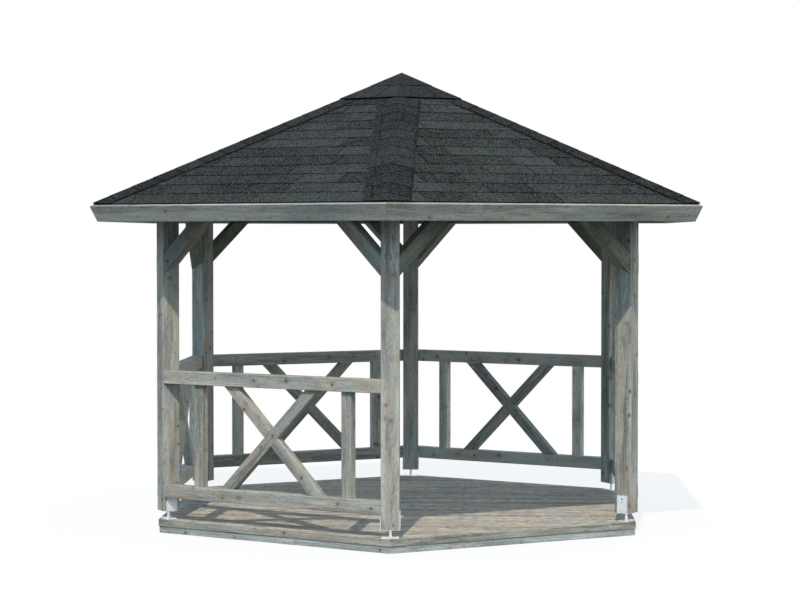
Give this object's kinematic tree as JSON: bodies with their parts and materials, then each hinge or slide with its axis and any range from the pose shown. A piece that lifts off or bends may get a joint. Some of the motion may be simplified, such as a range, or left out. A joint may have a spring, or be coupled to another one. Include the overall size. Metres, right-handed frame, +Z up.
{
  "type": "hexagonal garden gazebo",
  "caption": "Hexagonal timber gazebo with a boarded deck, square posts on steel shoes, cross-braced railings, an open entrance and a shingled pyramid roof.",
  "frame": {"origin": "on the ground under the middle of the deck", "axes": "+Z up; the open entrance side faces -Y; the posts stand at 0, 60, 120, 180, 240 and 300 degrees from +X"},
  "size_m": [4.7836, 4.143, 3.2402],
  "materials": {
    "post_timber": "grey-green weathered stain, planed",
    "rail_timber": "grey-green weathered stain, planed",
    "deck_timber": "grey-brown weathered boards",
    "fascia_timber": "grey-green weathered stain, planed",
    "roof_timber": "grey-green weathered stain, planed",
    "shingle": "charcoal mineral granules on bitumen felt",
    "galvanised_steel": "hot-dip galvanised"
  },
  "bodies": {
    "root": {"cross_arm_back": "rail_timber", "cross_arm_left_back": "rail_timber", "cross_arm_left_front": "rail_timber", "cross_arm_right_back": "rail_timber", "cross_arm_right_front": "rail_timber", "deck_boards": "deck_timber", "edge_boards": "deck_timber", "fascia_boards": "fascia_timber", "half_arms_back": "rail_timber", "half_arms_left_back": "rail_timber", "half_arms_left_front": "rail_timber", "half_arms_right_back": "rail_timber", "half_arms_right_front": "rail_timber", "hip_caps": "shingle", "hip_rafters": "roof_timber", "joists": "deck_timber", "knee_braces_back": "post_timber", "knee_braces_front": "post_timber", "knee_braces_left_back": "post_timber", "knee_braces_left_front": "post_timber", "knee_braces_right_back": "post_timber", "knee_braces_right_front": "post_timber", "post_back_left": "post_timber", "post_back_right": "post_timber", "post_front_left": "post_timber", "post_front_right": "post_timber", "post_left": "post_timber", "post_right": "post_timber", "post_shoes": "galvanised_steel", "rafters": "roof_timber", "rails_back": "rail_timber", "rails_left_back": "rail_timber", "rails_left_front": "rail_timber", "rails_right_back": "rail_timber", "rails_right_front": "rail_timber", "rim_joists": "deck_timber", "roof_boards": "roof_timber", "roof_cap": "shingle", "roof_hub": "roof_timber", "shingles": "shingle", "skirt_boards": "deck_timber", "uprights_back": "rail_timber", "uprights_left_back": "rail_timber", "uprights_left_front": "rail_timber", "uprights_right_back": "rail_timber", "uprights_right_front": "rail_timber", "wall_plates": "post_timber"}
  },
  "joints": []
}
